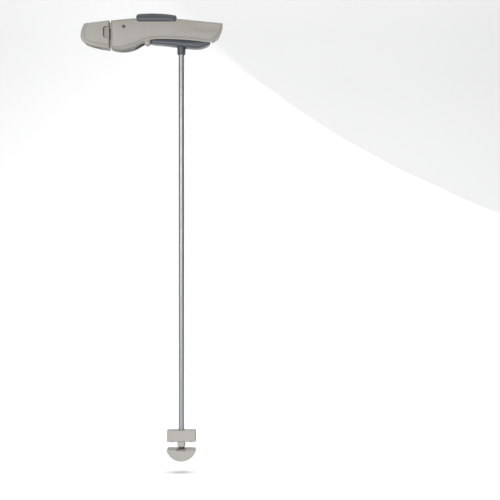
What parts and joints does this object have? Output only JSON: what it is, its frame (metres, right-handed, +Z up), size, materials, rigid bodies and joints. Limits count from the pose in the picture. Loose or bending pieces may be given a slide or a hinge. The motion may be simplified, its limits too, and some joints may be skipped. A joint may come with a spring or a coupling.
{
  "type": "stair gate latch",
  "caption": "Two-hand-proof gate latch: sliding thumb bolt into a frame catch, and a squeeze trigger that lifts a long rod out of a threshold keeper.",
  "frame": {"origin": "centre of the gate rail's end face, where it meets its stop inside the handle", "axes": "+X along the rail, away from the frame post; +Y away from the side with the indicator; +Z up along the lift rod"},
  "size_m": [0.2406, 0.0388, 0.7576],
  "materials": {
    "beige_abs": "fine moulded texture, satin",
    "pale_abs": "fine moulded texture, satin",
    "slate_abs": "satin moulded",
    "grey_nylon": "plain moulded nylon",
    "acetal": "smooth acetal",
    "red_mark": "red warning mark",
    "red_lens": "polished dark red lens",
    "silver_paint": "silver powder coat",
    "zinc_steel": "zinc plated",
    "spring_steel": "bright spring wire"
  },
  "bodies": {
    "fixed": {"catch_cover": "beige_abs", "catch_body": "beige_abs", "catch_screws": "zinc_steel", "catch_strike": "acetal", "handle_front_shell": "beige_abs", "handle_rear_shell": "beige_abs", "handle_screws": "zinc_steel", "indicator_lens": "red_lens", "slider_spring": "spring_steel", "trigger_spring": "spring_steel", "trigger_pivot_pin": "zinc_steel", "guide_front": "pale_abs", "guide_rear": "pale_abs", "keeper_cap": "pale_abs", "keeper_socket": "acetal"},
    "slider": {"thumb_button": "slate_abs", "bolt_carriage": "grey_nylon", "button_screws": "zinc_steel", "latch_tongue": "acetal", "tongue_mark": "red_mark", "indicator_flag": "red_mark"},
    "trigger": {"trigger_lever": "slate_abs"},
    "rod": {"rod_ferrule": "slate_abs", "rod_pin": "zinc_steel", "ferrule_rivet": "zinc_steel", "lift_rod": "silver_paint", "foot_bolt": "acetal", "foot_band": "red_mark", "foot_rivet": "zinc_steel"}
  },
  "joints": [
    {"name": "thumb_slide", "type": "slide", "parent": "fixed", "child": "slider", "axis": [1, 0, 0], "range_m": [0, 0.013], "stiffness_N_per_m": 250, "springref_m": -0.02, "deforming": ["slider_spring"]},
    {"name": "rod_lift", "type": "slide", "parent": "fixed", "child": "rod", "axis": [0, 0, 1], "range_m": [0, 0.0075]},
    {"name": "trigger_pivot", "type": "hinge", "parent": "fixed", "child": "trigger", "pos_m": [0.0215, 0, -0.0185], "axis": [0, -1, 0], "range_deg": [0, 7.5], "stiffness_Nm_per_rad": 1, "springref_deg": -8.59, "deforming": ["trigger_spring"]}
  ],
  "couplings": [
    {"joint": "trigger_pivot", "follows": "rod_lift", "rad_per_m": 17.391}
  ]
}
